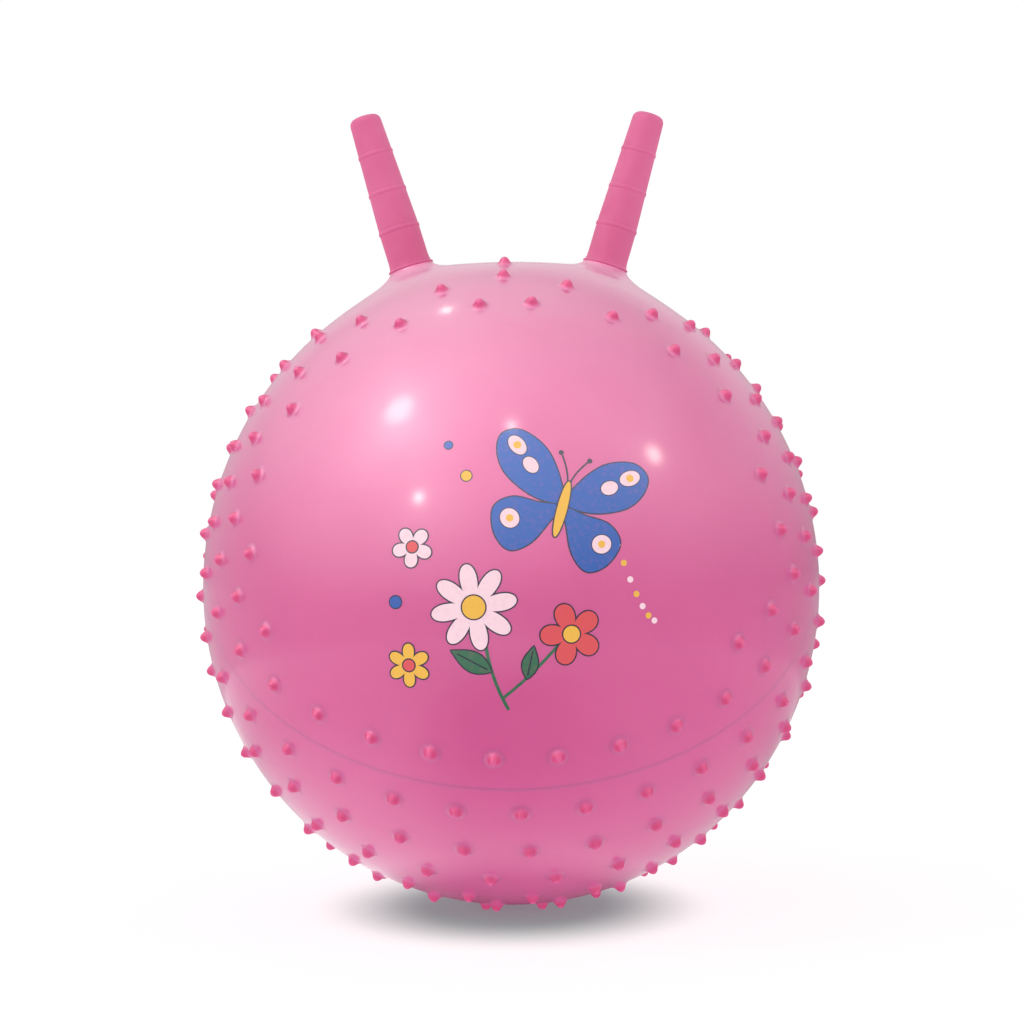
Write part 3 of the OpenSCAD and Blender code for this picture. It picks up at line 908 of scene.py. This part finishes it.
# Build
skin_pvc = skin_material()
horn_pvc = horn_material()
nub_pvc = nub_material()
inks = {
    "line": ink_material("line", "#1f1f3a"),
    "blue": ink_material("blue", "#2457ab"),
    "pale": ink_material("pale", "#f7d3df"),
    "yellow": ink_material("yellow", "#eeb63e"),
    "coral": ink_material("coral", "#dc4a50"),
    "green": ink_material("green", "#2f6a4c"),
}


def ball_piece(piece, slot, *nodes):
    """A piece that moves with the ball, and the solids that it stands for."""
    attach(piece, "ball")
    if nodes:
        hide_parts(*nodes)


ball_piece(inflated_skin(skin_pvc), "skin", "shell")
ball_piece(parting_line(skin_pvc), "skin")

tree = standing_tree()
pattern = nub_pattern()
feet = []
for row in range(len(nub_rows)):
    standing, foot = nub_directions(row)
    feet.append(foot)
    row_node = f"nub_row_{row + 1:02d}"
    ball_piece(stand_nubs(f"nubs_{row + 1:02d}", standing, tree, pattern, nub_pvc), "nub", row_node)
foot_piece = stand_nubs("nubs_on_floor", np.concatenate(feet), tree, pattern, nub_pvc)
for vertex in foot_piece.data.vertices:
    vertex.co.z = max(vertex.co.z, 0)
ball_piece(foot_piece, "nub", "foot_nubs")
bpy.data.objects.remove(pattern)

for name, side in (("left", -1), ("right", 1)):
    piece = horn(name + "_horn_grip", side, horn_pvc)
    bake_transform(piece)
    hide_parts(name + "_horn")
    # The milky skin of the real one hardly mirrors them
    piece.visible_glossy = False

ball_piece(valve_collar(valve_material()), "valve", "valve_sleeve")
plug_piece = valve_plug_piece(plug_material())
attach(plug_piece, "plug")
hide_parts("valve_plug")

for piece in front_print(inks):
    ball_piece(piece, "skin")

# Floor, lights and camera
floor_half = 9
floor_mesh = bpy.data.meshes.new("floor")
floor_corners = [(x * floor_half, y * floor_half, 0) for x, y in ((-1, -1), (1, -1), (1, 1), (-1, 1))]
floor_mesh.from_pydata(floor_corners, [], [(0, 1, 2, 3)])
floor_mesh.materials.append(floor_material())
floor = bpy.data.objects.new("floor", floor_mesh)
bpy.context.scene.collection.objects.link(floor)


lamp_colour = "#fff8e2"


def soft_box(name, toward, distance, size, power):
    """A round lamp that faces the ball."""
    light = bpy.data.lights.new(name, "AREA")
    light.shape = "DISK"
    light.size = size
    light.energy = power
    light.color = colour(lamp_colour)[:3]
    lamp = bpy.data.objects.new(name, light)
    direction = Vector(toward).normalized()
    lamp.location = middle + direction * distance
    lamp.rotation_euler = direction.to_track_quat("Z", "Y").to_euler()
    bpy.context.scene.collection.objects.link(lamp)


# Direction from the ball's middle, distance and width in metres, and power in watts
lamps = {
    "key_left": ((-0.53, -0.3, 0.79), 1.8, 0.28, 1.95),
    "front_left": ((-0.5, -0.73, 0.47), 2.1, 0.06, 1.25),
    "overhead_front": ((0.01, -0.61, 0.79), 1.8, 0.06, 0.68),
    "right": ((0.71, -0.37, 0.6), 2, 0.16, 1.4),
    "overhead_back": ((-0.23, 0.32, 0.92), 1.75, 0.06, 0.3),
}
for name, (toward, distance, size, power) in lamps.items():
    soft_box(name, toward, distance, size, power)

# The studio is plain white to the camera and through clear pieces. In gloss it has a bright ceiling, walls
# that are dimmer to the right, and a glow round three of the lamps that fades outwards, as in their
# reflectors. Its light on matt faces comes from all round, most from both sides and least from the ceiling,
# where the lamps are.
dimmest = (0, -0.1, 1)
horizon_level = 1.25
side_level = 1.9
ceiling_level = 0.17
brightest = (-0.3, -0.35, 0.89)
left_mirrored = 0.55
right_mirrored = 0.12
wall_mirrored = 0.9
ceiling_mirrored = 1.9
# Where the sides and the bright ceiling start and the walls end, as parts of a direction of length 1
side_start = 0.5
ceiling_start = 0.3
wall_end = 0.4
# Brightness of a lamp's glow in gloss, and the angle in radians over which it falls to about a third
lamp_glows = {"key_left": (4.5, 0.24), "front_left": (0.9, 0.35), "right": (1.6, 0.4)}
world = bpy.data.worlds.new("studio")
bpy.context.scene.world = world
world.use_nodes = True
world_tree = world.node_tree
heading = add_node(world_tree, "ShaderNodeTexCoord").outputs["Generated"]
parts = add_node(world_tree, "ShaderNodeSeparateXYZ", None, {0: heading}).outputs
aside = add_node(world_tree, "ShaderNodeMath", {"operation": "ABSOLUTE"}, {0: parts["X"]}).outputs[0]
horizon = add_node(world_tree, "ShaderNodeMapRange", None, {
    "Value": aside, "From Min": side_start, "To Min": horizon_level, "To Max": side_level}).outputs["Result"]
lampward = add_node(world_tree, "ShaderNodeVectorMath", {"operation": "DOT_PRODUCT"}, {
    0: heading, 1: dimmest}).outputs["Value"]
level = add_node(world_tree, "ShaderNodeMapRange", None, {
    "Value": lampward, "To Min": horizon, "To Max": ceiling_level}).outputs["Result"]
upward = add_node(world_tree, "ShaderNodeVectorMath", {"operation": "DOT_PRODUCT"}, {
    0: heading, 1: brightest}).outputs["Value"]
ceiling = add_node(world_tree, "ShaderNodeMapRange", None, {
    "Value": upward, "From Min": ceiling_start, "To Max": ceiling_mirrored}).outputs["Result"]
wall_base = add_node(world_tree, "ShaderNodeMapRange", None, {
    "Value": parts["X"], "From Min": -1, "To Min": left_mirrored, "To Max": right_mirrored}).outputs["Result"]
wall = add_node(world_tree, "ShaderNodeMapRange", None, {
    "Value": parts["Z"], "From Max": wall_end, "To Min": wall_base, "To Max": wall_mirrored})
mirrored = add_node(world_tree, "ShaderNodeMath", {"operation": "ADD"}, {
    0: ceiling, 1: wall.outputs["Result"]}).outputs[0]
for name, (brightness, spread) in lamp_glows.items():
    nearness = add_node(world_tree, "ShaderNodeVectorMath", {"operation": "DOT_PRODUCT"}, {
        0: heading, 1: Vector(lamps[name][0]).normalized()}).outputs["Value"]
    apart = add_node(world_tree, "ShaderNodeMath", {"operation": "ARCCOSINE"}, {0: nearness}).outputs[0]
    fall = add_node(world_tree, "ShaderNodeMath", {"operation": "MULTIPLY"}, {
        0: apart, 1: -1 / spread}).outputs[0]
    glow = add_node(world_tree, "ShaderNodeMath", {"operation": "EXPONENT"}, {0: fall}).outputs[0]
    mirrored = add_node(world_tree, "ShaderNodeMath", {"operation": "MULTIPLY_ADD"}, {
        0: glow, 1: brightness, 2: mirrored}).outputs[0]
rays = add_node(world_tree, "ShaderNodeLightPath").outputs
level = add_node(world_tree, "ShaderNodeMix", {"data_type": "FLOAT"}, {
    0: rays["Is Glossy Ray"], 2: level, 3: mirrored}).outputs[0]
seen_through = add_node(world_tree, "ShaderNodeMath", {"operation": "MAXIMUM"}, {
    0: rays["Is Camera Ray"], 1: rays["Is Transmission Ray"]}).outputs[0]
shown = add_node(world_tree, "ShaderNodeMix", {"data_type": "FLOAT"}, {0: seen_through, 2: level, 3: 1})
backdrop = world_tree.nodes["Background"]
backdrop.inputs["Color"].default_value = colour("#ffffff")
world_tree.links.new(shown.outputs[0], backdrop.inputs["Strength"])

camera_distance = 1700 * MM
camera_aside = 1.1 * MM
camera_raise = 54.7 * MM
camera_roll = math.radians(0.55)
photo_side = 1024
photo_focus = 2308
camera = bpy.data.cameras.new("camera")
camera.sensor_width = 36
camera.lens = photo_focus * camera.sensor_width / photo_side
camera_object = bpy.data.objects.new("camera", camera)
camera_object.location = (camera_aside, -camera_distance, middle.z + camera_raise)
camera_object.rotation_euler = (math.pi / 2, camera_roll, 0)
bpy.context.scene.collection.objects.link(camera_object)
bpy.context.scene.camera = camera_object
bpy.context.scene.view_settings.view_transform = "Standard"
